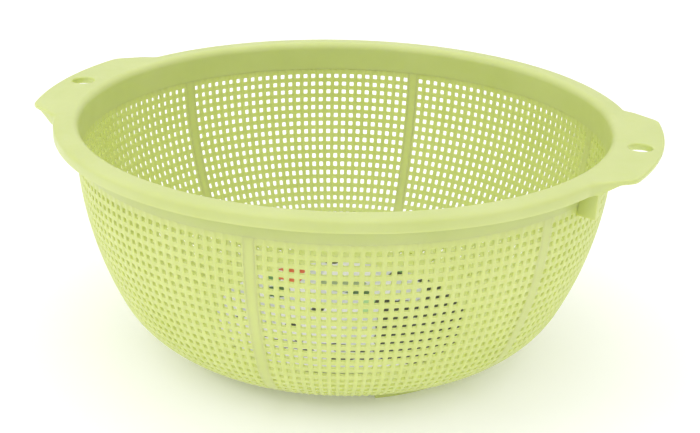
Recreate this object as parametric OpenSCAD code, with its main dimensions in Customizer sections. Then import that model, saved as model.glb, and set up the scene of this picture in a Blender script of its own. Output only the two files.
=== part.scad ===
// Handled strainer basket with a product card lying in it.
// Frame: +Z up, origin on the foot plane under the bowl's centre, handles on the X axis.

/* [Bowl] */
// Widest mid-wall radius of the bowl, at the height of the belly centre
bowl_r = 124.3; // [100:0.1:150]
// Depth of the bowl's widest section below the rim's top face
belly_h = 8.1; // [6:0.1:20]
// Width of the curved wall in plan, from the flat floor's edge to the widest mid-wall radius
curve_w = 56.64; // [47:0.02:70]
// Mid-wall radius of the curve from the floor into the side, seen in section
corner_r = 44.2; // [30:0.1:54]
// Height of the floor's underside above the foot plane
floor_z = 4.4; // [3:0.1:8]
// Wall thickness of the bowl
wall_t = 1.8; // [1.2:0.1:3]

/* [Mesh] */
// Solid ribs that divide the wall into sectors
sectors = 6; // [6:1:6]
// Leaves in each sector's mesh
leaves = 4; // [2:1:5]
// Vertical bars in each leaf: 4 keeps the solids light, and 7 gives the moulded mesh's own pitch
bars_per_leaf = 4; // [3:1:7]
// Share of the column pitch that is open
open_share = 0.62; // [0.45:0.01:0.7]
// Depth of the plain band's lower edge below the rim's top face
band_h = 17.4; // [12:0.1:25]
// Rows of holes on the side curve
side_rows = 9; // [6:1:12]
// Rows of holes round the bottom corner
corner_rows = 5; // [3:1:6]
// Height of the horizontal bars
cross_bar_h = 2.8; // [1.5:0.1:4]
// Thickness of the horizontal bars, which lie sunk in the wall
cross_bar_t = 1; // [0.6:0.1:1.4]
// Hairline between neighbouring leaves
leaf_gap = 0.06; // [0.04:0.01:0.1]

/* [Floor] */
// Width of the plain ring between the floor's mesh and the foot ring's outer face
floor_land = 12; // [10:0.5:16]
// Radius of the hoop between the floor's two rings of holes
hoop_r = 36; // [28:0.5:42]
// Radius of the plain disc in the middle of the floor
hub_r = 10; // [8:0.5:14]
// Width of the floor's spokes
spoke_w = 1.6; // [1.2:0.1:2]
// Spokes outside the hoop, twice as many as inside
spokes = 48; // [36:2:60]
// Radius from one floor ring to the next
floor_pitch = 9; // [5:0.5:12]

/* [Rim] */
// Height of the rim's top face above the foot plane
top_z = 111.6; // [90:0.2:135]
// Reach of the rim beyond the widest mid-wall radius
rim_w = 10.7; // [8:0.1:15]
// Thickness of the rim and of the handles
rim_t = 2; // [1.6:0.1:2.6]
// Outer radius of the roll from the wall into the rim
roll_r = 3.5; // [3:0.5:8]
// Depth of the rim's outer skirt below its top face
skirt_h = 5.6; // [3:0.1:8]

/* [Handles] */
// Reach of each handle beyond the rim
handle_l = 12; // [10:0.5:20]
// Half width of a handle at its outer edge
handle_tip_w = 38; // [30:0.5:46]
// Lean of a handle's sides from the line out of the bowl's middle, in degrees
handle_lean = 34.86; // [28:0.02:42]
// Rim along a handle's fillet that still belongs to the handle
handle_land = 0.87; // [0.5:0.01:3]
// Corner radius of a handle
handle_corner_r = 7; // [3:0.5:9]
// Fillet between a handle and the rim
handle_fillet_r = 8; // [4:0.5:12]
// Depth of a handle's edge at its outer corners
tip_edge_h = 2.2; // [2:0.1:4]
// Radius of the hanging hole
hang_r = 5.5; // [3:0.1:7]
// Distance from the hanging hole's edge to the handle's outer edge
hang_land = 4.5; // [2:0.5:8]
// Length of the hanging hole, through the handle and the collar under it
hang_h = 3.5; // [2.5:0.1:5]
// Wall of that collar
hang_collar_t = 1.5; // [1:0.1:2]

/* [Gussets] */
// Angle of each gusset from its handle's middle, in degrees
gusset_angle = 19.7; // [15:0.1:21]
// Thickness of a gusset
gusset_t = 2.6; // [1.6:0.1:4]
// Depth of a gusset's lower edge below the rim's top face
gusset_h = 19.1; // [14:0.1:25]

/* [Feet] */
// Distance from the flat floor's edge out to the foot ring's outer face
foot_out = 7.34; // [5:0.02:9]
// Thickness of the foot ring
foot_t = 2; // [1.6:0.1:3]
// Arc that each of the three feet covers, in degrees
foot_arc = 60; // [20:1:80]

/* [Card] */
// Clearance from the card's edge to the floor mesh's outer edge
card_gap = 1; // [0.5:0.1:20]
// Thickness of the card
card_t = 0.5; // [0.3:0.1:1]

/* [Hidden] */
$fn = 180;
SIDES = ["right", "back_right", "back_left", "left", "front_left", "front_right"];
QUARTERS = ["back_right", "back_left", "front_left", "front_right"];
FEET = ["front_right", "back", "front_left"];

LIME = [0.80, 0.86, 0.55];
LIME_SHADE = [0.73, 0.80, 0.45];
CARD = [0.92, 0.92, 0.90];

// Angles round the bowl, in degrees
sector_a = 360 / sectors;
columns = leaves * bars_per_leaf + 2;
column_a = sector_a / columns;
bar_a = column_a * (1 - open_share);
rib_a = column_a * (2 - open_share);
leaf_a = bars_per_leaf * column_a;

// Section of the wall: a long side curve, upright at the belly, runs into the corner curve
belly_z = top_z - belly_h;
floor_mid_z = floor_z + wall_t / 2;
corner_x = bowl_r - curve_w;
corner_z = floor_mid_z + corner_r;
belly_rise = belly_z - corner_z;
side_curve_r = (pow(curve_w, 2) + pow(belly_rise, 2) - pow(corner_r, 2)) / (2 * (curve_w - corner_r));
side_x = bowl_r - side_curve_r;
turn_a = asin(belly_rise / (side_curve_r - corner_r));

// Longer than any cut needs to be
far = 4 * max(bowl_r, side_curve_r);

// Floor and feet, outwards from the flat floor's edge
foot_r = corner_x + foot_out;
floor_r = foot_r - floor_land;
base_a = acos((foot_out + 2 * foot_t) / corner_r);

// Rows of holes: the side's last row has its middle where the corner curve begins
band_z = top_z - band_h;
turn_z = belly_z - side_curve_r * sin(turn_a);
row_pitch = (band_z + cross_bar_h / 2 - turn_z) / (side_rows - 0.5);
top_row_z = turn_z + (side_rows - 1) * row_pitch;
corner_pitch_a = (base_a - turn_a) / (corner_rows + 0.5);

// Section of the rim
rim_r = bowl_r + rim_w;
roll_x = bowl_r - wall_t / 2 + roll_r;
roll_z = top_z - roll_r;

// Plan of a handle: its sides lie on the lines side_n * p = side_d
handle_r = rim_r + handle_l;
side_n = [sin(handle_lean), cos(handle_lean)];
side_d = side_n * [handle_r, handle_tip_w];
side_fillet = on_side(side_d + handle_fillet_r, rim_r + handle_fillet_r);
side_corner = on_side(side_d - handle_corner_r, handle_r - handle_corner_r);
handle_arc = heading(side_fillet) + handle_land / rim_r * 180 / PI;
hang_x = handle_r - hang_land - hang_r;

gusset_z = top_z - gusset_h;

// Angle below the horizontal at which the side curve reaches a height
function side_angle(z) = asin((belly_z - z) / side_curve_r);

// A wedge of the section plane, from angle a to angle b below the horizontal
module wedge(x, z, a, b)
    translate([x, z])
        polygon([[0, 0], [far * cos(a), -far * sin(a)], [far * cos(b), -far * sin(b)]]);

module curve_band(x, z, r, t)
    translate([x, z]) difference() {
        circle(r + t / 2);
        circle(r - t / 2);
    }

// Side wall from height z0 up to z1, or from the turn into the corner where z0 is left out
module side_section(z1, z0 = undef)
    intersection() {
        curve_band(side_x, belly_z, side_curve_r, wall_t);
        if (is_undef(z0)) wedge(side_x, belly_z, -30, turn_a);
        else translate([0, z0]) square([far, far]);
        translate([0, z1 - far]) square([far, far]);
    }

module corner_section(a0, a1)
    intersection() {
        curve_band(corner_x, corner_z, corner_r, wall_t);
        wedge(corner_x, corner_z, a0, a1);
    }

// Cut through one horizontal bar, at angle a on a curve of radius r
module cross_bar_section(x, z, r, a)
    translate([x, z]) rotate(-a) translate([r, 0]) square([cross_bar_t, cross_bar_h], center = true);

module side_cross_bars()
    for (k = [0.5 : side_rows - 1.5])
        cross_bar_section(side_x, belly_z, side_curve_r, side_angle(top_row_z - k * row_pitch));

module corner_cross_bars()
    for (k = [0.5 : corner_rows - 0.5])
        cross_bar_section(corner_x, corner_z, corner_r, turn_a + k * corner_pitch_a);

// Turns a section from angle a round the bowl through span
module turn(a, span) rotate(a) rotate_extrude(angle = span) children();

// One sector of mesh: children(0) is a bar's section, children(1) the cross bars' section
module mesh_sector(i) {
    start = (i - 0.5) * sector_a;
    for (l = [0 : leaves - 1]) {
        a0 = start + column_a + l * leaf_a;
        low = a0 + (l == 0 ? rib_a / 2 - column_a : leaf_gap / 2);
        high = a0 + leaf_a - (l == leaves - 1 ? rib_a / 2 - column_a : leaf_gap / 2);
        union() {
            for (b = [0.5 : bars_per_leaf - 0.5]) turn(a0 + b * column_a - bar_a / 2, bar_a) children(0);
            turn(low, high - low) children(1);
        }
    }
}

module side_mesh(i) color(LIME) mesh_sector(i) {
    side_section(band_z);
    side_cross_bars();
}

module corner_mesh(i) color(LIME_SHADE) mesh_sector(i) {
    corner_section(turn_a, base_a);
    corner_cross_bars();
}

module ribs() for (i = [0 : sectors - 1]) turn((i + 0.5) * sector_a - rib_a / 2, rib_a) children();

module side_ribs() color(LIME) ribs() side_section(band_z);

module corner_ribs() color(LIME_SHADE) ribs() corner_section(turn_a, base_a);

module upper_band(i) color(LIME_SHADE) turn((i - 0.5) * sector_a, sector_a) side_section(roll_z, band_z);

module base_ring() color(LIME_SHADE) rotate_extrude() {
    corner_section(base_a, 90);
    translate([floor_r, floor_z]) square([corner_x - floor_r, wall_t]);
}

module tube(r0, r1, z, h) translate([0, 0, z]) difference() {
    cylinder(r = r1, h = h);
    translate([0, 0, -1]) cylinder(r = r0, h = h + 2);
}

module spoke_ring(n, r0, r1)
    for (i = [0 : n - 1])
        rotate((i + 0.5) * 360 / n) translate([r0, -spoke_w / 2, floor_z]) cube([r1 - r0, spoke_w, wall_t]);

module floor_rings(r0, r1)
    for (r = [r0 + floor_pitch : floor_pitch : r1 - floor_pitch / 2])
        tube(r - spoke_w / 2, r + spoke_w / 2, floor_mid_z - cross_bar_t / 2, cross_bar_t);

module floor_mesh() color(LIME_SHADE) {
    for (r = [hub_r + spoke_w / 2, hoop_r, floor_r - spoke_w / 2])
        tube(r - spoke_w / 2, r + spoke_w / 2, floor_z, wall_t);
    spoke_ring(spokes / 2, hub_r + spoke_w / 2, hoop_r);
    spoke_ring(spokes, hoop_r, floor_r - spoke_w / 2);
    floor_rings(hub_r, hoop_r);
    floor_rings(hoop_r, floor_r);
}

module floor_hub() color(LIME_SHADE) translate([0, 0, floor_z]) cylinder(r = hub_r, h = wall_t);

// The roll from the wall up to the flat crown
module roll_section() translate([roll_x, roll_z]) intersection() {
    difference() {
        circle(roll_r);
        circle(roll_r - rim_t);
    }
    translate([-far, 0]) square(far);
}

module rim_section() {
    roll_section();
    translate([roll_x, top_z - rim_t]) square([rim_r - rim_t - roll_x, rim_t]);
    translate([rim_r - rim_t, top_z - rim_t]) intersection() {
        circle(rim_t);
        square(rim_t);
    }
    translate([rim_r - rim_t, top_z - skirt_h]) square([rim_t, skirt_h - rim_t]);
}

// Quarter i of the rim, from the middle of the back or front to a handle
module rim(i) color(LIME) turn(90 * i + (i % 2 == 0 ? handle_arc : 0), 90 - handle_arc) rim_section();

// The rim's roll goes on past the handle at the angle a
module roll(a) color(LIME) turn(a - handle_arc, 2 * handle_arc) roll_section();

function polar(r, a) = [r * cos(a), r * sin(a)];

function arc(c, r, a0, a1, steps) = [for (i = [0 : steps]) c + polar(r, a0 + (a1 - a0) * i / steps)];

// Point at distance d from the origin along side_n and at radius r, on the handle's side
function on_side(d, r) = d * side_n + sqrt(r * r - d * d) * [side_n.y, -side_n.x];

function heading(p) = atan2(p.y, p.x);

// One half of a handle's outline, from the rim to the tip, moved in by the inset
function half_outline(inset) = let(n_a = heading(side_n), tip_a = heading(side_corner)) concat(
    [polar(rim_r - inset, handle_arc)],
    arc(side_fillet, handle_fillet_r + inset, heading(side_fillet) + 180, n_a + 180, 4),
    arc(side_corner, handle_corner_r - inset, n_a, tip_a, 6),
    [for (i = [1 : 6]) polar(handle_r - inset, tip_a * (1 - i / 6))]
);

module handle_outline(inset = 0) {
    half = half_outline(inset);
    polygon(concat([[0, 0]], half, [for (i = [len(half) - 2 : -1 : 0]) [half[i].x, -half[i].y]]));
}

// The edge that hangs below the plate, deep at the rim and running out at the handle's corners
module handle_edge() {
    slope = atan((skirt_h - tip_edge_h) / (on_side(side_d, handle_r - handle_corner_r).x - roll_x));
    difference() {
        translate([0, 0, top_z - skirt_h]) linear_extrude(skirt_h - rim_t) difference() {
            handle_outline();
            handle_outline(rim_t);
        }
        translate([roll_x, -far / 2, top_z - skirt_h])
            rotate([0, -slope, 0]) translate([0, 0, -far]) cube([far, far, far]);
    }
}

module handle(a) color(LIME) rotate(a) difference() {
    union() {
        translate([0, 0, top_z - rim_t]) linear_extrude(rim_t) difference() {
            handle_outline();
            circle(roll_x);
        }
        handle_edge();
        translate([hang_x, 0, top_z - hang_h]) cylinder(r = hang_r + hang_collar_t, h = hang_h);
    }
    translate([hang_x, 0, top_z - skirt_h - 1]) cylinder(r = hang_r, h = skirt_h + 2);
}

// The space under the rim, between the wall and the skirt
module gusset_section() difference() {
    union() {
        translate([roll_x, roll_z]) circle(roll_r - rim_t);
        translate([roll_x, gusset_z]) square([rim_r - rim_t - roll_x, top_z - rim_t - gusset_z]);
        translate([0, gusset_z]) square([roll_x, roll_z - gusset_z]);
    }
    translate([side_x, belly_z]) circle(side_curve_r + wall_t / 2);
}

module gussets(a) color(LIME_SHADE) {
    span = 2 * asin(gusset_t / 2 / rim_r);
    for (s = [-1, 1]) turn(a + s * gusset_angle - span / 2, span) gusset_section();
}

module foot(a) color(LIME_SHADE) turn(a - foot_arc / 2, foot_arc) difference() {
    translate([foot_r - foot_t, 0]) square([foot_t, corner_z]);
    translate([corner_x, corner_z]) circle(corner_r + wall_t / 2);
}

module product_card() color(CARD) translate([0, 0, floor_z + wall_t]) cylinder(r = floor_r - card_gap, h = card_t);

for (i = [0 : 3]) rim(i);
roll(0);  // roll_right
roll(180);  // roll_left
handle(0);  // handle_right
handle(180);  // handle_left
gussets(0);  // gussets_right
gussets(180);  // gussets_left
for (i = [0 : sectors - 1]) upper_band(i);
side_ribs();
corner_ribs();
for (i = [0 : sectors - 1]) side_mesh(i);
for (i = [0 : sectors - 1]) corner_mesh(i);
base_ring();
floor_mesh();
floor_hub();
for (i = [0 : 2]) foot(120 * i - 30);
product_card();
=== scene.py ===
"""Finished looks for a round strainer basket with two handles and a loose printed card.

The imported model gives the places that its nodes' boxes hold; the curves between them
repeat the part's own sizes. Pieces are drawn in millimetres about the bowl's axis and
brought to metres when they are settled.
"""

from __future__ import annotations

import logging
import math
from dataclasses import dataclass, field
from enum import Enum
from typing import Callable, Sequence

import bpy
from mathutils import Matrix, Vector

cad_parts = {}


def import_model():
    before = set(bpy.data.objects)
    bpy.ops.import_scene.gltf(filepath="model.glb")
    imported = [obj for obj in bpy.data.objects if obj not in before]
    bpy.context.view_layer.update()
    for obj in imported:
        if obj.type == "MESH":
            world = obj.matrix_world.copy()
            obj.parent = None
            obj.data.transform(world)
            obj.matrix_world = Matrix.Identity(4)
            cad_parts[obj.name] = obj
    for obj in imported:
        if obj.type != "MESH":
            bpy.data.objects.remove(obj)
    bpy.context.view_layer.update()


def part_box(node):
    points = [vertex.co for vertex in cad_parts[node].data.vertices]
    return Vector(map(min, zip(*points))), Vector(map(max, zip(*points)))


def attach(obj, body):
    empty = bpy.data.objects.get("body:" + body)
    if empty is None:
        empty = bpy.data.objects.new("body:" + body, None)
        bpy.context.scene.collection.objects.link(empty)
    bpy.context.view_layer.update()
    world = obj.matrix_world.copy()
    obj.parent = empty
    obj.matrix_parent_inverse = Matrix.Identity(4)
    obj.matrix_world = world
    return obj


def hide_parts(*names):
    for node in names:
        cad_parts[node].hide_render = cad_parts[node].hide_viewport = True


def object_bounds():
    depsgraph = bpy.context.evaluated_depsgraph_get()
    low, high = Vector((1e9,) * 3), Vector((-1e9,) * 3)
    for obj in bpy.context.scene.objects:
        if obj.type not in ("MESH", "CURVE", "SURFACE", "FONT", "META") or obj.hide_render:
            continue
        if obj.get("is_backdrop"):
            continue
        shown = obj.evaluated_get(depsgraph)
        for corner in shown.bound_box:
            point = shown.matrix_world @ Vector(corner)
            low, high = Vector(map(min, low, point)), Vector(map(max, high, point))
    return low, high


LOG = logging.getLogger("strainer")

MM = 0.001
PER_METRE = 1 / MM
WELD = 0.005
TINY = 1e-4
WHITE = (1, 1, 1, 1)
SIDES = ("right", "back_right", "back_left", "left", "front_left", "front_right")
QUARTERS = ("back_right", "back_left", "front_left", "front_right")

Point = tuple[float, float]
Section = list[Point]
Profile = tuple[Point, ...]
Colour = tuple[float, float, float]
Socket = bpy.types.NodeSocket


class Element(Enum):
    """What a selection in edit mode is made of, as the select mode's three switches."""

    VERTEX = (True, False, False)
    EDGE = (False, True, False)
    FACE = (False, False, True)


class Shading(Enum):
    """Edges flatter than this many degrees are shaded smooth."""

    CRISP = 35.0
    PLAIN = 40.0
    SOFT = 50.0


class Slot(Enum):
    """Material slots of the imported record."""

    BASKET = "basket"
    CARD = "card"


class Body(Enum):
    """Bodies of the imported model."""

    BASKET = "root"
    CARD = "card"


# ---------------------------------------------------------------- workbench


def deselect() -> None:
    """Goes back to object mode with nothing selected."""
    if bpy.context.mode != "OBJECT":
        bpy.ops.object.mode_set(mode="OBJECT")
    bpy.ops.object.select_all(action="DESELECT")


def activate(obj: bpy.types.Object) -> None:
    """Makes one object the only selected one, and the active one.

    Args:
        obj: The object to work on.
    """
    deselect()
    bpy.context.view_layer.objects.active = obj
    obj.select_set(True)


def edit(obj: bpy.types.Object) -> None:
    """Opens one object in edit mode with all of it selected.

    Args:
        obj: The object to edit.
    """
    activate(obj)
    bpy.context.tool_settings.mesh_select_mode = Element.VERTEX.value
    bpy.ops.object.mode_set(mode="EDIT")
    bpy.ops.mesh.select_all(action="SELECT")


def pick(obj: bpy.types.Object, element: Element, test: Callable[[Vector], bool]) -> None:
    """Opens an object in edit mode with only the elements selected whose middle passes a test.

    Args:
        obj: The object to edit.
        element: Which elements are tested.
        test: Says whether an element with its middle at a point is wanted.
    """
    activate(obj)
    mesh = obj.data
    for items in (mesh.vertices, mesh.edges, mesh.polygons):
        items.foreach_set("select", [False] * len(items))
    if element is Element.VERTEX:
        for vertex in mesh.vertices:
            vertex.select = test(vertex.co)
    elif element is Element.EDGE:
        for edge in mesh.edges:
            a, b = (mesh.vertices[i].co for i in edge.vertices)
            edge.select = test((a + b) / 2)
    else:
        for face in mesh.polygons:
            face.select = test(face.center)
    bpy.context.tool_settings.mesh_select_mode = element.value
    bpy.ops.object.mode_set(mode="EDIT")


def new_plane(name: str, middle: tuple[float, float, float] = (0.0, 0.0, 0.0)) -> bpy.types.Object:
    """Adds a unit square with its place in its mesh.

    Args:
        name: Name of the new object.
        middle: Where the square's middle lies.

    Returns:
        The new object.
    """
    deselect()
    bpy.ops.mesh.primitive_plane_add(size=1.0, location=middle)
    bpy.ops.object.transform_apply(location=True, rotation=False, scale=False)
    obj = bpy.context.object
    obj.name = obj.data.name = name
    return obj


def draw_outline(
    name: str, section: Section, turned: float = 0.0, filled: bool = False
) -> bpy.types.Object:
    """Draws a closed outline in a plane through the bowl's axis, one extruded point after another.

    Args:
        name: Name of the new object.
        section: Points as (radius, height).
        turned: Angle of the plane about the axis, in radians.
        filled: True to keep a face inside the outline.

    Returns:
        The new object.
    """
    obj = new_plane(name)
    edit(obj)
    bpy.ops.mesh.merge(type="CENTER")
    ring = [Vector((r * math.cos(turned), r * math.sin(turned), z)) for r, z in section]
    bpy.ops.transform.translate(value=ring[0])
    for here, there in zip(ring, ring[1:]):
        bpy.ops.mesh.extrude_vertices_move(TRANSFORM_OT_translate={"value": there - here})
    bpy.ops.mesh.select_all(action="SELECT")
    bpy.ops.mesh.edge_face_add()
    if not filled:
        bpy.ops.mesh.delete(type="ONLY_FACE")
    return obj


def spin(obj: bpy.types.Object, steps: int, sweep: float = math.tau) -> None:
    """Spins an outline about the bowl's axis, welds what meets and caps open ends.

    Args:
        obj: The object that holds the outline.
        steps: Steps over the whole sweep.
        sweep: Angle to spin through, in radians.
    """
    edit(obj)
    # With no window the operator turns clockwise about +Z, hence the minus
    bpy.ops.mesh.spin(steps=steps, angle=-sweep, center=(0, 0, 0), axis=(0, 0, 1))
    bpy.ops.mesh.select_all(action="SELECT")
    bpy.ops.mesh.remove_doubles(threshold=WELD)
    bpy.ops.mesh.fill_holes(sides=0)
    bpy.ops.mesh.select_all(action="SELECT")
    bpy.ops.mesh.normals_make_consistent(inside=False)


def spun(
    name: str, section: Section, steps: int, start: float = 0.0, sweep: float = math.tau
) -> bpy.types.Object:
    """Makes a turned piece from its section.

    Args:
        name: Name of the piece.
        section: Closed outline as (radius, height).
        steps: Steps over the whole sweep.
        start: Angle at which the piece begins, in radians.
        sweep: Angle that it covers, in radians.

    Returns:
        The new object, closed.
    """
    obj = draw_outline(name, section, start)
    spin(obj, steps, sweep)
    deselect()
    return obj


def apply(obj: bpy.types.Object, modifier: bpy.types.Modifier) -> None:
    """Applies a modifier.

    Args:
        obj: The object that carries it.
        modifier: The modifier.
    """
    activate(obj)
    bpy.ops.object.modifier_apply(modifier=modifier.name)


def turned_copy(obj: bpy.types.Object, name: str, angle: float) -> bpy.types.Object:
    """Copies a piece, with its own mesh, turned about the bowl's axis.

    Args:
        obj: The piece to copy.
        name: Name of the copy.
        angle: Turn in radians.

    Returns:
        The copy.
    """
    copy = obj.copy()
    copy.data = obj.data.copy()
    copy.name = copy.data.name = name
    bpy.context.scene.collection.objects.link(copy)
    copy.data.transform(Matrix.Rotation(angle, 4, "Z"))
    return copy


def join(name: str, parts: Sequence[bpy.types.Object]) -> bpy.types.Object:
    """Joins objects into one.

    Args:
        name: Name of the joined piece.
        parts: Objects to join; the first one stays.

    Returns:
        The joined object.
    """
    deselect()
    for part in parts:
        part.select_set(True)
    bpy.context.view_layer.objects.active = parts[0]
    bpy.ops.object.join()
    parts[0].name = parts[0].data.name = name
    return parts[0]


def settle(
    obj: bpy.types.Object,
    material: bpy.types.Material,
    body: Body,
    nodes: Sequence[str],
    shading: Shading = Shading.PLAIN,
) -> bpy.types.Object:
    """Brings a finished piece to metres, dresses it, attaches it to its body and hides the CAD
    nodes that it stands for.

    Args:
        obj: The piece, drawn in millimetres.
        material: Its finish.
        body: The body that it rides on.
        nodes: The CAD nodes that it stands for.
        shading: How much of it is shaded smooth.

    Returns:
        The piece.
    """
    obj.data.transform(Matrix.Scale(MM, 4))
    obj.data.materials.clear()
    obj.data.materials.append(material)
    activate(obj)
    bpy.ops.object.shade_smooth_by_angle(angle=math.radians(shading.value))
    deselect()
    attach(obj, body.value)
    if nodes:
        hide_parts(*nodes)
    LOG.info("%s: %d faces on %s", obj.name, len(obj.data.polygons), body.value)
    return obj


def evenly(start: float, end: float, steps: int) -> list[float]:
    """Values from start to end in equal steps, with both ends."""
    return [start + (end - start) * k / steps for k in range(steps + 1)]


def smoothstep(t: float) -> float:
    """Eases from 0 to 1 as t goes from 0 to 1."""
    t = min(1.0, max(0.0, t))
    return t * t * (3 - 2 * t)


def arc(x: float, z: float, r: float, start: float, end: float, steps: int) -> Section:
    """Points on an arc.

    Args:
        x: Radius at which the arc's centre lies.
        z: Height of the centre.
        r: Radius of the arc.
        start: First angle in degrees, from the outward direction upwards.
        end: Last angle in degrees.
        steps: Steps from the first to the last.

    Returns:
        The points as (radius, height).
    """
    angles = [math.radians(angle) for angle in evenly(start, end, steps)]
    return [(x + r * math.cos(a), z + r * math.sin(a)) for a in angles]


# ---------------------------------------------------------------- finishes


def srgb(red: float, green: float, blue: float) -> Colour:
    """Linear colour from the values that a screen shows.

    Args:
        red: Red from 0 to 255.
        green: Green from 0 to 255.
        blue: Blue from 0 to 255.

    Returns:
        The colour as Blender takes it.
    """

    def linear(value: float) -> float:
        """Undoes the screen's curve for one value."""
        share = value / 255
        return share / 12.92 if share <= 0.04045 else ((share + 0.055) / 1.055) ** 2.4

    return linear(red), linear(green), linear(blue)


class Ink(Enum):
    """Colours of the card's print; the grey is also painted shade clouding the paper."""

    BLACK = srgb(34, 36, 34)
    GREY = srgb(196, 198, 204)
    LEAF = srgb(92, 142, 84)
    DEEP_LEAF = srgb(52, 92, 52)
    PALE_LEAF = srgb(160, 202, 140)
    MOSS = srgb(140, 156, 118)
    WARM = srgb(206, 92, 60)


@dataclass(frozen=True)
class Patch:
    """One printed shape: an oblong or an ellipse with a noisy edge, in mm on the card."""

    middle: Point
    half: Point
    ink: Ink
    lean: float = 0.0
    round: bool = True


class Graph:
    """A material's node tree, with short ways to add and link nodes."""

    NOISE_RANGE = (0.3, 0.7)
    EDGE_WIDTH = 0.6

    def __init__(self, name: str) -> None:
        """Starts a material with one Principled shader.

        Args:
            name: Name of the material.
        """
        self.material = bpy.data.materials.new(name)
        self.material.use_nodes = True
        self.tree = self.material.node_tree
        self.shader = self.tree.nodes["Principled BSDF"]

    def add(self, kind: str, **settings: object) -> bpy.types.Node:
        """Adds a node.

        Args:
            kind: The node's type.
            **settings: Attributes to set on it.

        Returns:
            The node.
        """
        node = self.tree.nodes.new(kind)
        for name, value in settings.items():
            setattr(node, name, value)
        return node

    def set(self, values: dict[str, object]) -> None:
        """Gives the shader's inputs fixed values.

        Args:
            values: Each input's value under its name.
        """
        for name, value in values.items():
            self.shader.inputs[name].default_value = value

    def link(self, source: Socket, target: Socket) -> None:
        """Links two sockets."""
        self.tree.links.new(source, target)

    def place(self, turn: float = 0.0, scale: tuple[float, float, float] = (1, 1, 1)) -> Socket:
        """Object coordinates, turned about +Z and scaled.

        Args:
            turn: Turn in radians.
            scale: Scale along the turned axes.

        Returns:
            The socket that gives them.
        """
        where = self.add("ShaderNodeTexCoord")
        mapping = self.add("ShaderNodeMapping")
        mapping.inputs["Rotation"].default_value = (0, 0, turn)
        self.link(where.outputs["Object"], mapping.inputs["Vector"])
        scaled = self.add("ShaderNodeVectorMath", operation="MULTIPLY")
        scaled.inputs[1].default_value = scale
        self.link(mapping.outputs["Vector"], scaled.inputs[0])
        return scaled.outputs["Vector"]

    def calc(self, operation: str, *values: float | Socket) -> Socket:
        """Adds one step of arithmetic.

        Args:
            operation: The step.
            *values: Numbers, or sockets that give them.

        Returns:
            The result.
        """
        node = self.add("ShaderNodeMath", operation=operation)
        for socket, value in zip(node.inputs, values):
            if isinstance(value, Socket):
                self.link(value, socket)
            else:
                socket.default_value = value
        return node.outputs[0]

    def inside(self, where: Socket, patch: Patch, waver: Socket) -> Socket:
        """Mask of one printed shape.

        Args:
            where: Coordinates in the print's units.
            patch: The shape.
            waver: How far the shape's edge is drawn in at a point.

        Returns:
            1 inside the shape and 0 outside it.
        """
        local = self.add("ShaderNodeMapping", vector_type="TEXTURE")
        local.inputs["Location"].default_value = (*patch.middle, 0)
        local.inputs["Rotation"].default_value = (0, 0, patch.lean)
        local.inputs["Scale"].default_value = (*patch.half, 1)
        self.link(where, local.inputs["Vector"])
        apart = self.add("ShaderNodeSeparateXYZ")
        self.link(local.outputs["Vector"], apart.inputs["Vector"])
        x, y = (self.calc("ABSOLUTE", apart.outputs[axis]) for axis in "XY")
        if patch.round:
            squares = [self.calc("MULTIPLY", value, value) for value in (x, y)]
            reach = self.calc("SQRT", self.calc("ADD", *squares))
        else:
            reach = self.calc("MAXIMUM", x, y)
        gap = self.calc("MULTIPLY", self.calc("SUBTRACT", 1.0, reach), min(patch.half))
        return self.step(self.calc("SUBTRACT", gap, waver), edge=0.0, width=self.EDGE_WIDTH)

    def noise(self, where: Socket, scale: float, detail: float = 2.0) -> Socket:
        """Smooth noise.

        Args:
            where: Coordinates.
            scale: Waves per unit of the coordinates.
            detail: Octaves.

        Returns:
            The noise's value.
        """
        node = self.add("ShaderNodeTexNoise")
        node.inputs["Scale"].default_value = scale
        node.inputs["Detail"].default_value = detail
        self.link(where, node.inputs["Vector"])
        return node.outputs["Fac"]

    def remap(self, value: Socket, source: Point, target: Point = (0.0, 1.0)) -> Socket:
        """Maps one range of a value to another and clamps what lies outside.

        Args:
            value: The value.
            source: Ends of the range that it comes from.
            target: Ends of the range that it goes to.

        Returns:
            The mapped value.
        """
        node = self.add("ShaderNodeMapRange")
        names = ("From Min", "From Max", "To Min", "To Max")
        for name, limit in zip(names, (*source, *target)):
            node.inputs[name].default_value = limit
        self.link(value, node.inputs["Value"])
        return node.outputs["Result"]

    def spread(self, noise: Socket, low: float, high: float) -> Socket:
        """Spreads the middle of a noise's range to the range low to high."""
        return self.remap(noise, self.NOISE_RANGE, (low, high))

    def step(self, value: Socket, edge: float, width: float) -> Socket:
        """A mask that goes from 0 to 1 as a value passes an edge, over a width."""
        return self.remap(value, (edge - width / 2, edge + width / 2))

    def mix(self, factor: Socket, first: Colour | Socket, second: Colour | Socket) -> Socket:
        """Mixes two colours.

        Args:
            factor: 0 for the first colour, 1 for the second.
            first: A colour, or the socket that gives one.
            second: A colour, or the socket that gives one.

        Returns:
            The mixed colour.
        """
        node = self.add("ShaderNodeMix", data_type="RGBA")
        self.link(factor, node.inputs["Factor"])
        for side, colour in (("A", first), ("B", second)):
            socket = next(s for s in node.inputs if s.name == side and s.type == "RGBA")
            if isinstance(colour, Socket):
                self.link(colour, socket)
            else:
                socket.default_value = (*colour, 1.0)
        return next(s for s in node.outputs if s.type == "RGBA")

    def bump(self, height: Socket, distance: float, strength: float) -> None:
        """Raises the surface by a height.

        Args:
            height: The height from 0 to 1.
            distance: The rise in metres.
            strength: Share of the rise that shows.
        """
        node = self.add("ShaderNodeBump")
        node.inputs["Distance"].default_value = distance
        node.inputs["Strength"].default_value = strength
        self.link(height, node.inputs["Height"])
        self.link(node.outputs["Normal"], self.shader.inputs["Normal"])


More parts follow.
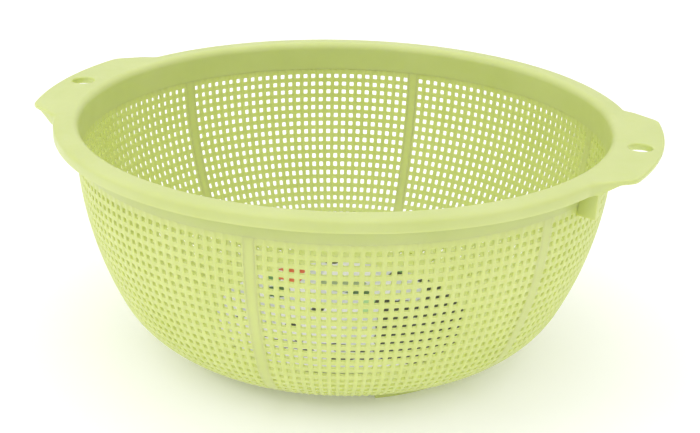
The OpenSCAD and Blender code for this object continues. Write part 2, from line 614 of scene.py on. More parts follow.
@dataclass(frozen=True)
class LimePlastic:
    """Satin moulded polypropylene, dyed lime and slightly translucent."""

    name: str
    # These defaults are the rim's copy of the plastic, a shade darker than the mesh's: painted
    # shade on the rim and the band under it.
    deep: Colour = srgb(202, 212, 132)
    pale: Colour = srgb(207, 216, 141)
    roughness: tuple[float, float] = (0.34, 0.42)
    cloud_scale: float = 38.0
    gloss_scale: float = 210.0
    detail: float = 3.0
    grain: float = 1800.0
    relief: float = 0.00003
    relief_share: float = 0.5
    ior: float = 1.49
    specular: float = 0.65
    glow: float = 0.5
    glow_radius: Colour = (1.0, 1.0, 0.35)
    glow_scale: float = 0.0025

    def make(self) -> bpy.types.Material:
        """Makes the material.

        Returns:
            A material with clouded colour, uneven gloss and the mould's fine grain.
        """
        graph = Graph(self.name)
        where = graph.place()
        clouds = graph.spread(graph.noise(where, self.cloud_scale, self.detail), 0.0, 1.0)
        graph.link(graph.mix(clouds, self.deep, self.pale), graph.shader.inputs["Base Color"])
        gloss = graph.spread(graph.noise(where, self.gloss_scale, self.detail), *self.roughness)
        graph.link(gloss, graph.shader.inputs["Roughness"])
        graph.bump(graph.noise(where, self.grain), self.relief, self.relief_share)
        graph.set(
            {
                "IOR": self.ior,
                "Specular IOR Level": self.specular,
                "Subsurface Weight": self.glow,
                "Subsurface Radius": self.glow_radius,
                "Subsurface Scale": self.glow_scale,
            }
        )
        return graph.material


@dataclass(frozen=True)
class PrintedCard:
    """Coated card with a generic print: a white part, a dark part, leaves and a warm patch. The
    paper is darkened past its own off-white and clouded with grey, as painted shade.

    Patches are in mm, and the scales of noises are in waves per mm.
    """

    name: str = "printed_card"
    turn: float = math.radians(-17.3)
    waver: float = 2.2
    waver_scale: float = 0.11
    cloud_scale: float = 0.06
    gloss_scale: float = 0.05
    roughness: tuple[float, float] = (0.30, 0.38)
    grain: float = 0.9
    relief: float = 0.00002
    relief_share: float = 0.4
    dash_stretch: Point = (0.45, 1.6)
    dash_scale: float = 0.30
    dash_share: float = 0.56
    dashes: Patch = Patch((-13, -35), (21, 7), Ink.BLACK, round=False)
    # Off-white paper, darkened past its own tone as painted shade.
    paper: Colour = srgb(222, 220, 224)
    patches: tuple[Patch, ...] = (
        Patch((45, -16), (28, 34), Ink.BLACK, round=False),
        Patch((8, -38), (12, 3), Ink.BLACK, 0.15),
        Patch((50, 30), (12, 18), Ink.BLACK),
        Patch((34, 28), (9, 13), Ink.GREY),
        Patch((36, -8), (5, 3), Ink.GREY, 0.5),
        Patch((33, 53), (6, 4), Ink.LEAF, 0.6),
        Patch((14, 8), (2.6, 20), Ink.PALE_LEAF),
        Patch((-33, 22), (7, 8), Ink.DEEP_LEAF, 0.4),
        Patch((-36, 40), (5, 6), Ink.LEAF),
        Patch((-24, 51), (8.5, 4.5), Ink.WARM),
        Patch((-27, 41), (6, 6), Ink.WARM),
        Patch((-24, 61), (5, 3.5), Ink.DEEP_LEAF),
        Patch((1, 32), (14, 6), Ink.MOSS, round=False),
        Patch((10, 25), (6, 3.5), Ink.DEEP_LEAF),
        Patch((30, 46), (6, 4), Ink.BLACK, 0.4),
        Patch((-6, 62), (4, 4), Ink.BLACK),
        Patch((-48, -7), (5, 2.2), Ink.BLACK, 0.3),
        Patch((-36, -12), (2.5, 2.5), Ink.BLACK),
        Patch((-22, -14), (2.5, 2), Ink.BLACK),
        Patch((-12, 5), (2.5, 3), Ink.BLACK),
        Patch((14, -48), (20, 2.4), Ink.BLACK, round=False),
    )

    def make(self) -> bpy.types.Material:
        """Makes the material.

        Returns:
            A material whose print follows the card's own place on the floor.
        """
        graph = Graph(self.name)
        where = graph.place(self.turn, (PER_METRE,) * 3)
        edge = graph.spread(graph.noise(where, self.waver_scale), -self.waver, self.waver)
        stretch = (PER_METRE * share for share in self.dash_stretch)
        rows = graph.place(self.turn, (*stretch, PER_METRE))
        # Grey clouds over the paper: painted shade.
        clouds = graph.step(graph.noise(where, self.cloud_scale, detail=1.0), edge=0.55, width=0.1)
        colour = graph.mix(clouds, self.paper, Ink.GREY.value)
        for patch in self.patches:
            colour = graph.mix(graph.inside(where, patch, edge), colour, patch.ink.value)
        noise = graph.noise(rows, self.dash_scale, detail=1.0)
        strokes = graph.step(noise, edge=self.dash_share, width=0.03)
        shown = graph.calc("MULTIPLY", strokes, graph.inside(where, self.dashes, edge))
        colour = graph.mix(shown, colour, self.dashes.ink.value)
        graph.link(colour, graph.shader.inputs["Base Color"])
        gloss = graph.spread(graph.noise(where, self.gloss_scale), *self.roughness)
        graph.link(gloss, graph.shader.inputs["Roughness"])
        graph.bump(graph.noise(where, self.grain), self.relief, self.relief_share)
        return graph.material


# ---------------------------------------------------------------- the basket


@dataclass(frozen=True)
class Wall:
    """Section of the bowl's wall in mm: a long side curve runs into the bottom corner's curve.

    The mesh starts under the band and ends at the base ring; the floor's mesh starts inside it.
    """

    belly_r: float = 124.3
    belly_z: float = 103.5
    side_r: float = 167.6
    turn_z: float = 30.15
    thickness: float = 1.8
    band_z: float = 97.0
    floor_z: float = 4.4
    base_r: float = 79.0
    floor_r: float = 63.0

    @property
    def turn(self) -> float:
        """Angle below the horizontal at which the side curve ends, in radians."""
        return math.asin((self.belly_z - self.turn_z) / self.side_r)

    @property
    def corner_r(self) -> float:
        """Radius of the corner's curve at the middle of the wall."""
        drop = self.belly_z - self.side_r * math.sin(self.turn) - self.floor_z - self.thickness / 2
        return drop / (1 - math.sin(self.turn))

    @property
    def corner(self) -> Point:
        """Centre of the corner's curve.

        Returns:
            The centre as (radius, height).
        """
        shift = self.side_r - self.corner_r
        middle_z = self.floor_z + self.thickness / 2
        return self.belly_r - self.side_r + shift * math.cos(self.turn), middle_z + self.corner_r

    @property
    def turn_run(self) -> float:
        """Run along the wall from the belly to the end of the side curve."""
        return self.side_r * self.turn

    @property
    def base_run(self) -> float:
        """Run from the belly to the plain base ring."""
        base_angle = math.acos((self.base_r - self.corner[0]) / self.corner_r)
        return self.turn_run + self.corner_r * (base_angle - self.turn)

    @property
    def flat_run(self) -> float:
        """Run from the belly to where the corner's curve meets the flat floor."""
        return self.turn_run + self.corner_r * (math.pi / 2 - self.turn)

    def run_at(self, z: float) -> float:
        """Run from the belly down to a height on the side curve."""
        return self.side_r * math.asin((self.belly_z - z) / self.side_r)

    def point(self, run: float, out: float = 0.0) -> Point:
        """A point of the section.

        Args:
            run: Run along the wall from the belly downwards.
            out: Distance outwards from the middle of the wall.

        Returns:
            The point as (radius, height).
        """
        if run < self.turn_run:
            angle, r = run / self.side_r, self.side_r + out
            x, z = self.belly_r - self.side_r, self.belly_z
        else:
            angle, r = self.turn + (run - self.turn_run) / self.corner_r, self.corner_r + out
            x, z = self.corner
        return x + r * math.cos(angle), z - r * math.sin(angle)

    def strip(self, start: float, end: float, steps: int) -> Section:
        """Closed section of the wall between two runs.

        Args:
            start: First run.
            end: Last run.
            steps: Steps between them.

        Returns:
            The outline: down the outer face and up the inner one.
        """
        runs, half = evenly(start, end, steps), self.thickness / 2
        return [self.point(s, half) for s in runs] + [self.point(s, -half) for s in reversed(runs)]


@dataclass(frozen=True)
class Lattice:
    """A moulded mesh: square holes between proud bars one way and sunk plates the other way.

    Bars run along the second coordinate. Shares are of the pitch from one bar to the next.
    """

    name: str
    columns: int
    rows: int
    place: Callable[[float, float], Vector]
    thickness: float
    lead_in: float = 0.0
    crest: float = 0.10
    bar: float = 0.23
    nick: float = 0.07
    sunk: float = 0.72

    def build(self) -> bpy.types.Object:
        """Makes one cell, repeats it, lays it in place and gives it its thickness.

        Returns:
            The mesh as one closed object.
        """
        obj = self._cell()
        for axis, count in enumerate((self.columns, self.rows)):
            repeat = obj.modifiers.new("repeat", "ARRAY")
            repeat.count = count
            repeat.use_relative_offset = False
            repeat.use_constant_offset = True
            repeat.constant_offset_displace = [1.0 if k == axis else 0.0 for k in range(3)]
            repeat.use_merge_vertices = True
            repeat.merge_threshold = TINY
            apply(obj, repeat)
        if self.lead_in:
            pick(obj, Element.EDGE, lambda middle: middle.y < TINY)
            lead = {"value": (0, -self.lead_in, 0)}
            bpy.ops.mesh.extrude_region_move(TRANSFORM_OT_translate=lead)
            deselect()
        self._weigh(obj)
        for vertex in obj.data.vertices:
            vertex.co = self.place(vertex.co.x, vertex.co.y)
        edit(obj)
        bpy.ops.mesh.remove_doubles(threshold=WELD)
        deselect()
        wall = obj.modifiers.new("wall", "SOLIDIFY")
        wall.thickness = self.thickness
        wall.offset = 0.0
        wall.vertex_group = "wall"
        apply(obj, wall)
        obj.vertex_groups.clear()
        return obj

    def _cell(self) -> bpy.types.Object:
        """Cuts one cell, takes out its hole and nicks the hole's corners.

        Returns:
            The cell, one unit each way.
        """
        half = 0.5
        obj = new_plane(self.name, (half, half, 0.0))
        edit(obj)
        across = (self.crest, self.bar, 1 - self.bar, 1 - self.crest)
        cuts = [((at, 0, 0), (1, 0, 0)) for at in across]
        cuts += [((0, at, 0), (0, 1, 0)) for at in (self.bar, 1 - self.bar)]
        for point, normal in cuts:
            bpy.ops.mesh.select_all(action="SELECT")
            bpy.ops.mesh.bisect(plane_co=point, plane_no=normal)
        reach = half - self.bar

        def off(at: Vector) -> Point:
            """How far a point lies from the cell's middle each way."""
            return abs(at.x - half), abs(at.y - half)

        pick(obj, Element.FACE, lambda middle: max(off(middle)) < reach)
        bpy.ops.mesh.delete(type="FACE")
        pick(obj, Element.VERTEX, lambda at: all(abs(gap - reach) < TINY for gap in off(at)))
        bpy.ops.mesh.bevel(offset=self.nick, segments=1, affect="VERTICES")
        deselect()
        return obj

    def _weigh(self, obj: bpy.types.Object) -> None:
        """Writes the share of the wall's thickness at each vertex to the group named wall.

        Args:
            obj: The flat mesh, one unit to a cell.
        """
        by_share: dict[float, list[int]] = {}
        for vertex in obj.data.vertices:
            off = vertex.co.x - math.floor(vertex.co.x + TINY)
            off = max(0.0, min(off, 1 - off))
            rise = 1 - min(1.0, max(0.0, (off - self.crest) / (self.bar - self.crest)))
            share = round(self.sunk + (1 - self.sunk) * rise, 4)
            by_share.setdefault(share, []).append(vertex.index)
        group = obj.vertex_groups.new(name="wall")
        for share, found in by_share.items():
            group.add(found, share, "REPLACE")


@dataclass
class Bowl:
    """The mesh wall between its six ribs, with the plain base ring."""

    wall: Wall
    plastic: bpy.types.Material
    columns: int = 29
    column: float = math.radians(2.0)
    side_rows: int = 15
    corner_rows: int = 8
    top_row_z: float = 93.0
    row_pitch: float = 4.4
    sector: float = math.radians(60.0)

    def run_of(self, row: float) -> float:
        """Run along the wall at a row coordinate.

        Args:
            row: Row coordinate, 0 at the first row's upper edge.

        Returns:
            The run from the belly downwards.
        """
        side_row = min(row, self.side_rows)
        run = self.wall.run_at(self.top_row_z + self.row_pitch * (0.5 - side_row))
        return run + (row - side_row) * (self.wall.base_run - run) / self.corner_rows

    def place(self, across: float, down: float) -> Vector:
        """Where a point of the first mesh panel lies at the middle of the wall.

        Args:
            across: Column coordinate.
            down: Row coordinate.

        Returns:
            The point in mm.
        """
        r, z = self.wall.point(self.run_of(down))
        angle = (across - self.columns / 2) * self.column
        return Vector((r * math.cos(angle), r * math.sin(angle), z))

    def build(self) -> list[bpy.types.Object]:
        """Makes the six mesh panels, the ribs and the base ring.

        Returns:
            The settled pieces.
        """
        lead_in = (self.wall.band_z - self.top_row_z) / self.row_pitch - 0.5
        rows = self.side_rows + self.corner_rows
        lattice = Lattice(
            "mesh_panel", self.columns, rows, self.place, self.wall.thickness, lead_in
        )
        first = lattice.build()
        copies = [
            turned_copy(first, f"mesh_{side}", i * self.sector) for i, side in enumerate(SIDES)
        ]
        bpy.data.objects.remove(first)
        panels = [
            self._settle(copy, f"side_mesh_{side}", f"corner_mesh_{side}")
            for copy, side in zip(copies, SIDES)
        ]
        return panels + [self._ribs(), self._base_ring()]

    def _settle(self, obj: bpy.types.Object, *nodes: str) -> bpy.types.Object:
        """Settles one of the bowl's pieces on the basket's body."""
        return settle(obj, self.plastic, Body.BASKET, nodes, Shading.SOFT)

    def _ribs(self) -> bpy.types.Object:
        """Makes the six smooth ribs between the panels.

        Returns:
            The settled piece.
        """
        section = self.wall.strip(self.wall.run_at(self.wall.band_z), self.wall.base_run, steps=40)
        width = self.sector - self.columns * self.column
        first = spun("ribs", section, steps=4, start=(self.sector - width) / 2, sweep=width)
        ribs = [turned_copy(first, f"rib_{i}", i * self.sector) for i in range(len(SIDES))]
        bpy.data.objects.remove(first)
        return self._settle(join("ribs", ribs), "side_ribs", "corner_ribs")

    def _base_ring(self) -> bpy.types.Object:
        """Makes the plain ring from the corner's mesh to the floor's mesh.

        Returns:
            The settled piece.
        """
        low, high = (PER_METRE * corner.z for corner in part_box("floor_hub"))
        strip = self.wall.strip(self.wall.base_run, self.wall.flat_run, steps=6)
        turn = len(strip) // 2
        edge = [(self.wall.floor_r, low), (self.wall.floor_r, high)]
        section = strip[:turn] + edge + strip[turn:]
        return self._settle(spun("base", section, steps=180), "base_ring")


@dataclass
class Handles:
    """Plan of the two handles that grow out of the rim, in mm."""

    rim_r: float = 135.0
    reach: float = 147.0
    side_n: Point = (0.5715, 0.8206)
    side_d: float = 115.2
    corner_r: float = 7.0
    fillet_r: float = 8.0

    @property
    def corner(self) -> Point:
        """Centre of the rounding of a handle's corner."""
        return self._on_side(self.side_d - self.corner_r, self.reach - self.corner_r)

    @property
    def fillet(self) -> Point:
        """Centre of the fillet between a handle and the rim."""
        return self._on_side(self.side_d + self.fillet_r, self.rim_r + self.fillet_r)

    def _on_side(self, d: float, r: float) -> Point:
        """Finds a point from its distance to the axis, along a side's normal and in all.

        Args:
            d: Distance along the normal of the handle's side.
            r: Distance in all.

        Returns:
            The point in plan.
        """
        (nx, ny), along = self.side_n, math.sqrt(r * r - d * d)
        return d * nx + along * ny, d * ny - along * nx

    @staticmethod
    def _meet(centre: Point, r: float, angle: float, far: bool) -> float:
        """Finds where a ray from the axis meets a circle.

        Args:
            centre: The circle's centre.
            r: Its radius.
            angle: The ray's angle, in radians.
            far: True for the farther of the two meeting points.

        Returns:
            The distance from the axis.
        """
        along = centre[0] * math.cos(angle) + centre[1] * math.sin(angle)
        off = centre[0] * math.sin(angle) - centre[1] * math.cos(angle)
        half = math.sqrt(max(0.0, r * r - off * off))
        return along + half if far else along - half

    def radius(self, angle: float, inset: float = 0.0) -> float:
        """Outer radius of the rim or of a handle at an angle.

        Args:
            angle: Angle from the handle's middle, in radians, not negative.
            inset: How far the outline is moved inwards.

        Returns:
            The radius in mm.
        """
        fillet, corner = self.fillet, self.corner
        normal = math.atan2(self.side_n[1], self.side_n[0])
        fillet_end = math.atan2(fillet[1], fillet[0])
        touch = [
            (c[0] - s * r * self.side_n[0], c[1] - s * r * self.side_n[1])
            for c, r, s in ((fillet, self.fillet_r + inset, 1), (corner, self.corner_r - inset, -1))
        ]
        fillet_start, corner_end = (math.atan2(p[1], p[0]) for p in touch)
        if angle <= math.atan2(corner[1], corner[0]):
            return self.reach - inset
        if angle <= corner_end:
            return self._meet(corner, self.corner_r - inset, angle, True)
        if angle <= fillet_start:
            return (self.side_d - inset) / math.cos(angle - normal)
        if angle <= fillet_end:
            return self._meet(fillet, self.fillet_r + inset, angle, False)
        return self.rim_r - inset


@dataclass
class Rim:
    """The band above the mesh, the roll, the rim and its two handles, as one moulding. In mm.

    A lip's points are (inwards from the outer edge, down from the crown). A hanging hole's
    are (outwards from its bore, upwards from the crown or from the collar's lower end).
    """

    wall: Wall
    plastic: bpy.types.Material
    # The gussets take the mesh's lighter copy of the plastic, which is painted light.
    lit_mesh_plastic: bpy.types.Material
    handles: Handles = field(default_factory=Handles)
    steps: int = 720
    band_heights: Point = (100.6, 104.3)
    roll_r: float = 3.5
    plate: float = 2.0
    skirt: float = 5.6
    tip_skirt: float = 2.2
    plain_lip: Profile = (
        (4.1, 0.02),
        (2.6, 0.14),
        (1.4, 0.40),
        (0.60, 0.80),
        (0.15, 1.35),
        (0.0, 2.1),
    )
    handle_lip: Profile = (
        (4.1, 0.0),
        (1.0, 0.0),
        (0.62, 0.08),
        (0.29, 0.29),
        (0.08, 0.62),
        (0.0, 1.0),
    )
    lip_run: float = 4.0
    skirt_run: float = 1.5
    edge_r: float = 0.35
    edge_flat: float = 0.4
    inner_r: float = 0.7
    chamfer: float = 0.3
    hole_x: float = 137.0
    hole_r: float = 5.5
    hole_steps: int = 64
    hole_lip: Profile = ((0.62, 0.02), (0.25, -0.10), (0.06, -0.32), (0.0, -0.65))
    hole_flare: Profile = ((0.02, 1.9), (0.35, 1.1), (1.15, -0.02))
    collar_h: float = 3.5
    collar_t: float = 1.5
    collar_bevel: float = 0.4
    collar_root: float = 0.9
    cutter_end: float = 1.0
    gusset_angle: float = math.radians(19.7)
    gusset_t: float = 2.6
    gusset_bevel: float = 0.35
    gusset_lean: float = 0.6
    gusset_leave_z: float = 103.0
    gusset_turn: Point = (125.4, 107.6)
    gusset_root_r: float = 127.4
    bite: float = 0.3
    reach_angle: float = math.radians(30.0)

    @property
    def top(self) -> float:
        """Height of the crown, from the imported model."""
        return PER_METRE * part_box("handle_right")[1].z

    def section(self, angle: float) -> Section:
        """Section of the band, rim and handle at an angle from a handle's middle.

        Args:
            angle: Angle in radians, not negative.

        Returns:
            The closed outline; every angle gives the same count of points.
        """
        top, plate = self.top, self.plate
        roll_z = top - self.roll_r
        half = self.wall.thickness / 2
        roll_x = self.wall.belly_r - half + self.roll_r
        outer = self.handles.radius(angle)
        inner = self.handles.radius(angle, plate)
        stretch = outer - self.handles.rim_r
        ear = smoothstep(stretch / self.lip_run)
        run = (outer * math.cos(angle) - roll_x) / (self.handles.corner[0] - roll_x)
        depth = self.skirt
        if stretch > TINY:
            depth = max(self.tip_skirt, self.skirt - (self.skirt - self.tip_skirt) * max(0.0, run))
            depth = self.skirt + (depth - self.skirt) * smoothstep(stretch / self.skirt_run)
        heights = (self.wall.band_z, *self.band_heights)
        rise = [self.wall.point(self.wall.run_at(z), -half) for z in heights]
        roll = arc(roll_x, roll_z, self.roll_r, 180, 90, steps=9)
        lip = [
            (outer - a[0] + ear * (a[0] - b[0]), top - a[1] + ear * (a[1] - b[1]))
            for a, b in zip(self.plain_lip, self.handle_lip)
        ]
        inside = min(self.inner_r, (depth - plate) / 2)
        ease = self.edge_r * (1 + ear)
        skirt = [
            (outer, top - depth + ease),
            (outer - self.chamfer * ease, top - depth + self.chamfer * ease),
            (outer - ease, top - depth),
            (inner + self.edge_flat, top - depth),
            (inner, top - depth + self.chamfer * inside),
            (inner, top - plate - inside),
            (inner - self.inner_r, top - plate),
        ]
        under = arc(roll_x, roll_z, self.roll_r - plate, 90, 180, steps=6)
        drop = [self.wall.point(self.wall.run_at(z), half) for z in reversed(heights)]
        return rise + roll + lip + skirt + under + drop

    def build(self) -> list[bpy.types.Object]:
        """Makes the rim with its handles, and the gussets under them.

        Returns:
            The settled pieces.
        """
        plain = self.section(math.pi / 2)
        rim = spun("rim", plain, self.steps)
        self._pull_handles(rim, plain)
        for side in (-1, 1):
            self._pierce(rim, side * self.hole_x)
        nodes = [f"rim_{quarter}" for quarter in QUARTERS]
        nodes += [f"upper_band_{side}" for side in SIDES]
        nodes += [f"{part}_{side}" for part in ("roll", "handle") for side in ("right", "left")]
        pieces = [settle(rim, self.plastic, Body.BASKET, nodes, Shading.CRISP)]
        for name, middle in (("gussets_right", 0.0), ("gussets_left", math.pi)):
            pieces.append(self._gussets(name, middle))
        return pieces

    def _pull_handles(self, rim: bpy.types.Object, plain: Section) -> None:
        """Pulls the spun rim out into the two handles.

        Args:
            rim: The rim, spun from the plain section.
            plain: The plain section.
        """

        def key_of(point: Point) -> Point:
            """A point of the section, rounded so that it can be looked up."""
            return round(point[0], 2), round(point[1], 2)

        index = {key_of(point): k for k, point in enumerate(plain)}
        sections: dict[int, Section] = {}
        for vertex in rim.data.vertices:
            angle = math.atan2(vertex.co.y, vertex.co.x)
            off = min(abs(angle), math.pi - abs(angle))
            if off > self.reach_angle:
                continue
            step = round(off / TINY)
            if step not in sections:
                sections[step] = self.section(off)
            here = (math.hypot(vertex.co.x, vertex.co.y), vertex.co.z)
            k = index.get(key_of(here))
            if k is None:
                k = min(range(len(plain)), key=lambda i: math.dist(plain[i], here))
            r, z = sections[step][k]
            vertex.co = (r * math.cos(angle), r * math.sin(angle), z)

    def _pierce(self, rim: bpy.types.Object, x: float) -> None:
        """Adds the collar of a hanging hole under the handle and cuts the hole with rounded edges.

        Args:
            rim: The rim.
            x: Where the hole's axis stands on the X axis.
        """
        r, top, low = self.hole_r, self.top, self.top - self.collar_h
        wide, bevel, root = r + self.collar_t, self.collar_bevel, top - self.collar_root
        post = [(0, low), (wide - bevel, low), (wide, low + bevel), (wide, root), (0, root)]
        collar = spun("collar", post, self.hole_steps)
        lip = [(r + out, top + up) for out, up in self.hole_lip]
        flare = [(r + out, low + up) for out, up in self.hole_flare]
        above, below = top + self.cutter_end, low - self.cutter_end
        bore = [(0, above), (lip[0][0], above), *lip, *flare, (flare[-1][0], below), (0, below)]
        cutter = spun("cutter", bore, self.hole_steps)
        for tool, operation in ((collar, "UNION"), (cutter, "DIFFERENCE")):
            tool.data.transform(Matrix.Translation((x, 0, 0)))
            cut = rim.modifiers.new("hole", "BOOLEAN")
            cut.operation = operation
            cut.solver = "EXACT"
            cut.object = tool
            apply(rim, cut)
            bpy.data.objects.remove(tool)

    def _gussets(self, name: str, middle: float) -> bpy.types.Object:
        """Makes the two gussets under a handle.

        Args:
            name: The CAD node that they stand for.
            middle: Angle of the handle, in radians.

        Returns:
            The settled piece.
        """
        low = PER_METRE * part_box(name)[0].z
        top = self.top - self.plate + self.bite
        outer = self.handles.rim_r - self.plate / 2
        inner = self.wall.thickness / 2 - self.bite
        section = [(outer, top), (outer, self.top - self.skirt), (outer - self.gusset_lean, low)]
        heights = evenly(low, self.gusset_leave_z, 5)
        section += [self.wall.point(self.wall.run_at(z), inner) for z in heights]
        section += [self.gusset_turn, (self.gusset_root_r, top)]
        parts = []
        for side in (-1, 1):
            part = draw_outline("gusset", section, filled=True)
            edit(part)
            bpy.ops.transform.translate(value=(0, -self.gusset_t / 2, 0))
            across = {"value": (0, self.gusset_t, 0)}
            bpy.ops.mesh.extrude_region_move(TRANSFORM_OT_translate=across)
            bpy.ops.mesh.select_all(action="SELECT")
            bpy.ops.mesh.normals_make_consistent(inside=False)
            bpy.ops.mesh.bevel(offset=self.gusset_bevel, segments=2)
            deselect()
            part.data.transform(Matrix.Rotation(middle + side * self.gusset_angle, 4, "Z"))
            parts.append(part)
        pair = join(f"hanging_{name}", parts)
        # Dressed in the mesh's lighter copy of the plastic: painted light.
        return settle(pair, self.lit_mesh_plastic, Body.BASKET, [name], Shading.CRISP)


@dataclass
class Floor:
    """The floor's mesh, its plain hub and the three feet. Sizes in mm.

    The points of the hub's dimple and of the gate's mark are (radius, depth from the face).
    """

    wall: Wall
    plastic: bpy.types.Material
    hoop_r: float = 36.0
    outer_cells: tuple[int, int] = (90, 9)
    inner_cells: tuple[int, int] = (45, 8)
    dimple: Profile = ((0.0, 0.35), (2.2, 0.3), (3.2, 0.08), (4.0, 0.0))
    gate: Profile = ((3.6, 0.0), (3.4, 0.3), (1.4, 0.3), (1.2, 0.1), (0.0, 0.1))
    foot_t: float = 2.0
    foot_ease: float = 0.6
    foot_arc: float = math.radians(60.0)
    feet: tuple[tuple[str, float], ...] = (
        ("foot_front_right", math.radians(-30)),
        ("foot_back", math.radians(90)),
        ("foot_front_left", math.radians(210)),
    )

    @property
    def hub_r(self) -> float:
        """Radius of the hub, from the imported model."""
        return PER_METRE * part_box("floor_hub")[1].x

    def _ring_place(
        self, cells: tuple[int, int], outer: float, inner: float
    ) -> Callable[[float, float], Vector]:
        """Says where a floor mesh's points lie.

        Args:
            cells: Columns round the full turn, and rows from the outer to the inner radius.
            outer: Outer radius.
            inner: Inner radius.

        Returns:
            The function from column and row coordinates to a point in mm.
        """
        middle_z = PER_METRE * sum(corner.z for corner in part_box("floor_hub")) / 2
        columns, rows = cells

        def place(across: float, down: float) -> Vector:
            """Where a point lies.

            Args:
                across: Column coordinate.
                down: Row coordinate.

            Returns:
                The point in mm.
            """
            r = outer + (inner - outer) * down / rows
            angle = math.tau * across / columns
            return Vector((r * math.cos(angle), r * math.sin(angle), middle_z))

        return place

    def build(self) -> list[bpy.types.Object]:
        """Makes the floor's mesh, the hub and the feet.

        Returns:
            The settled pieces.
        """
        rings = []
        radii = (self.wall.floor_r, self.hoop_r, self.hub_r)
        for cells, outer, inner in zip((self.outer_cells, self.inner_cells), radii, radii[1:]):
            place = self._ring_place(cells, outer, inner)
            rings.append(Lattice("floor_ring", *cells, place, self.wall.thickness).build())
        mesh = join("floor_lattice", rings)
        settle(mesh, self.plastic, Body.BASKET, ["floor_mesh"], Shading.SOFT)
        return [mesh, self._hub(), *(self._foot(name, middle) for name, middle in self.feet)]

    def _hub(self) -> bpy.types.Object:
        """Makes the hub, with the gate's mark underneath and a shallow dimple above it.

        Returns:
            The settled piece.
        """
        low, high = (PER_METRE * corner.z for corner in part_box("floor_hub"))
        section = [(r, high - deep) for r, deep in self.dimple]
        section += [(self.hub_r, high), (self.hub_r, low)]
        section += [(r, low + deep) for r, deep in self.gate]
        hub = spun("hub", section, steps=96)
        return settle(hub, self.plastic, Body.BASKET, ["floor_hub"])

    def _foot(self, name: str, middle: float) -> bpy.types.Object:
        """Makes one foot, rounded where it stands.

        Args:
            name: The CAD node that it stands for.
            middle: Angle of its middle, in radians.

        Returns:
            The settled piece.
        """
        outer = self.wall.base_r - 2 * self.foot_t
        inner = outer - self.foot_t
        high, ease = self.wall.floor_z + self.wall.thickness / 2, self.foot_ease
        section = [(inner, high), *arc(inner + ease, ease, ease, 180, 270, steps=4)]
        section += [*arc(outer - ease, ease, ease, 270, 360, steps=4), (outer, high)]
        start = middle - self.foot_arc / 2
        foot = spun(f"standing_{name}", section, steps=40, start=start, sweep=self.foot_arc)
        return settle(foot, self.plastic, Body.BASKET, [name])


@dataclass
class Card:
    """The printed card that lies on the floor. Sizes in mm."""

    material: bpy.types.Material
    ease: float = 0.12

    def build(self) -> bpy.types.Object:
        """Makes the card with eased edges.

        Returns:
            The settled piece.
        """
        low, high = (Vector(corner) * PER_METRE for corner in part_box("product_card"))
        r, ease = high.x, self.ease
        section = [(0, high.z), (r / 2, high.z), (r - ease, high.z), (r, high.z - ease)]
        section += [(r, low.z + ease), (r - ease, low.z), (r / 2, low.z), (0, low.z)]
        card = spun("printed_card", section, steps=180)
        return settle(card, self.material, Body.CARD, ["product_card"])


# ---------------------------------------------------------------- the studio


@dataclass(frozen=True)
class Softbox:
    """A square area light. Its place and side are in metres and its power in watts."""

    name: str
    at: tuple[float, float, float]
    side: float
    power: float


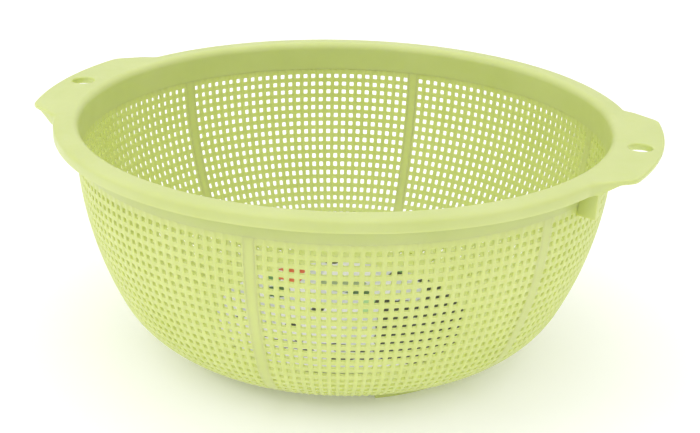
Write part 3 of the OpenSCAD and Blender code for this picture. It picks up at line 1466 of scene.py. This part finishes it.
@dataclass(frozen=True)
class Studio:
    """Pale floor, soft light and the camera, in metres. The lens and its sensor are in mm."""

    eye: tuple[float, float, float] = (0.1832, -0.5882, 0.3083)
    heading: float = math.radians(17.3)
    yaw: float = math.radians(0.302)
    pitch: float = math.radians(22.063)
    roll: float = math.radians(1.547)
    lens: float = 70.6
    sensor: float = 36.0
    nearest: float = 0.01
    sky: tuple[float, float] = (0.54, 1.36)
    floor_glow: float = 0.14
    floor_side: float = 6.0
    floor_roughness: float = 0.9
    floor_shades: tuple[Colour, Colour] = ((0.95, 0.95, 0.95), (0.96, 0.96, 0.96))
    aim: tuple[float, float, float] = (0.0, 0.0, 0.05)
    softboxes: tuple[Softbox, ...] = (
        Softbox("top_light", (-0.25, 0.10, 1.5), side=1.4, power=1.0),
        Softbox("left_light", (-1.1, -0.7, 0.9), side=0.9, power=2.0),
    )

    def build(self) -> None:
        """Makes the floor, the lights, the sky and the camera."""
        self._floor()
        self._sky()
        for softbox in self.softboxes:
            self._hang(softbox)
        self._camera()
        bpy.context.scene.view_settings.view_transform = "Standard"

    def _floor(self) -> None:
        """Makes the pale floor."""
        floor = new_plane("studio_floor")
        edit(floor)
        bpy.ops.transform.resize(value=(self.floor_side, self.floor_side, 1))
        deselect()
        graph = Graph("studio_floor")
        shade = graph.spread(graph.noise(graph.place(), scale=1.5, detail=1.0), 0.0, 1.0)
        graph.link(graph.mix(shade, *self.floor_shades), graph.shader.inputs["Base Color"])
        graph.set(
            {
                "Roughness": self.floor_roughness,
                "Emission Color": WHITE,
                "Emission Strength": self.floor_glow,
            }
        )
        floor.data.materials.append(graph.material)
        floor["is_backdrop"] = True

    def _sky(self) -> None:
        """Makes a white surround that grows brighter from the horizon up."""
        world = bpy.data.worlds.new("surround")
        world.use_nodes = True
        tree = world.node_tree
        background = tree.nodes["Background"]
        background.inputs["Color"].default_value = WHITE
        where = tree.nodes.new("ShaderNodeTexCoord")
        apart = tree.nodes.new("ShaderNodeSeparateXYZ")
        rise = tree.nodes.new("ShaderNodeMapRange")
        rise.inputs["To Min"].default_value, rise.inputs["To Max"].default_value = self.sky
        tree.links.new(where.outputs["Generated"], apart.inputs["Vector"])
        tree.links.new(apart.outputs["Z"], rise.inputs["Value"])
        tree.links.new(rise.outputs["Result"], background.inputs["Strength"])
        bpy.context.scene.world = world

    def _hang(self, softbox: Softbox) -> None:
        """Adds a light that faces the basket.

        Args:
            softbox: The light.
        """
        light = bpy.data.lights.new(softbox.name, "AREA")
        light.shape = "SQUARE"
        light.size = softbox.side
        light.energy = softbox.power
        obj = bpy.data.objects.new(softbox.name, light)
        obj.location = softbox.at
        facing = Vector(self.aim) - Vector(softbox.at)
        obj.rotation_euler = facing.to_track_quat("-Z", "Y").to_euler()
        bpy.context.scene.collection.objects.link(obj)

    def _camera(self) -> None:
        """Makes the camera and looks through it."""
        level = math.cos(self.pitch)
        forward = (math.sin(self.yaw) * level, math.cos(self.yaw) * level, -math.sin(self.pitch))
        forward = Matrix.Rotation(self.heading, 3, "Z") @ Vector(forward)
        sideways = forward.cross(Vector((0, 0, 1))).normalized()
        upright = sideways.cross(forward)
        right = math.cos(self.roll) * sideways + math.sin(self.roll) * upright
        up = math.cos(self.roll) * upright - math.sin(self.roll) * sideways
        turn = Matrix((right, up, -forward)).transposed()
        data = bpy.data.cameras.new("camera")
        data.lens = self.lens
        data.sensor_width = self.sensor
        data.clip_start = self.nearest
        camera = bpy.data.objects.new("camera", data)
        camera.matrix_world = Matrix.Translation(self.eye) @ turn.to_4x4()
        bpy.context.scene.collection.objects.link(camera)
        bpy.context.scene.camera = camera


def write_sizes(after: object) -> None:
    """Defines a helper that turns a box into plain lists, and writes nothing.

    Args:
        after: The box of what shows at the end; not used.
    """

    def plain(box: Sequence[Sequence[float]]) -> list[list[float]]:
        """A box as plain lists."""
        return [[float(x) for x in corner] for corner in box]


def main() -> None:
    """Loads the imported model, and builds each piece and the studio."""
    logging.basicConfig(level=logging.INFO, format="%(name)s: %(message)s")
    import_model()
    wall = Wall()
    smooth = LimePlastic("lime_rim").make()
    # One lime plastic in two copies: the mesh's is lighter as painted light, the rim's darker as
    # painted shade on its band.
    lit_mesh_shades = {"deep": srgb(207, 217, 131), "pale": srgb(212, 221, 140)}
    meshed = LimePlastic("lime_mesh", **lit_mesh_shades, roughness=(0.34, 0.44)).make()
    pieces = Rim(wall, smooth, meshed).build()
    pieces += Bowl(wall, meshed).build()
    pieces += Floor(wall, meshed).build()
    pieces.append(Card(PrintedCard().make()).build())
    Studio().build()
    LOG.info("%d pieces", len(pieces))
    write_sizes(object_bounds())


if __name__ == "__main__":
    main()
